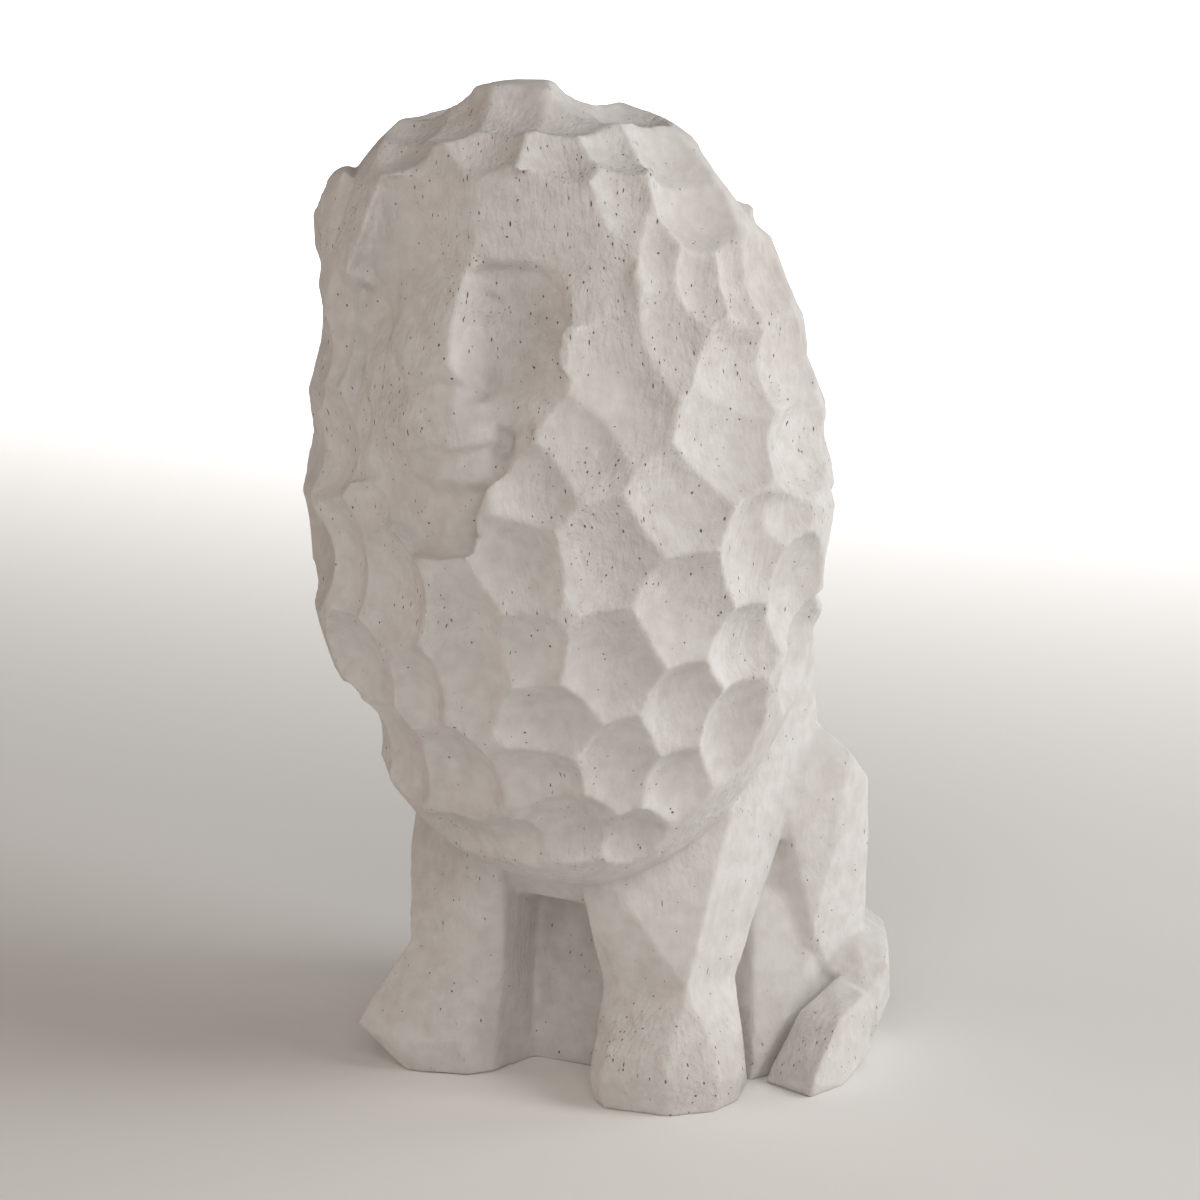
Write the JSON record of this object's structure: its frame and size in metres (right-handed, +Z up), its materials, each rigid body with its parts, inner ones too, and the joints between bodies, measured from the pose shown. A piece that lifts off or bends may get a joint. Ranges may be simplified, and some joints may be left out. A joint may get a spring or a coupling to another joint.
{
  "type": "lion sculpture",
  "caption": "Seated lion sculpture with an egg-shaped mane carved in shallow scoops, upright forelegs and its tail curled forward; stands on its flat underside.",
  "frame": {"origin": "on the ground, under the middle of the sculpture's outline", "axes": "+Z up; the lion looks along -Y and its left side, where the tail lies, is +X"},
  "size_m": [0.146, 0.1584, 0.28],
  "materials": {
    "cast_stone": "matt, unglazed, with small pits and tool drag marks"
  },
  "bodies": {
    "root": {"lion": "cast_stone"}
  },
  "joints": []
}
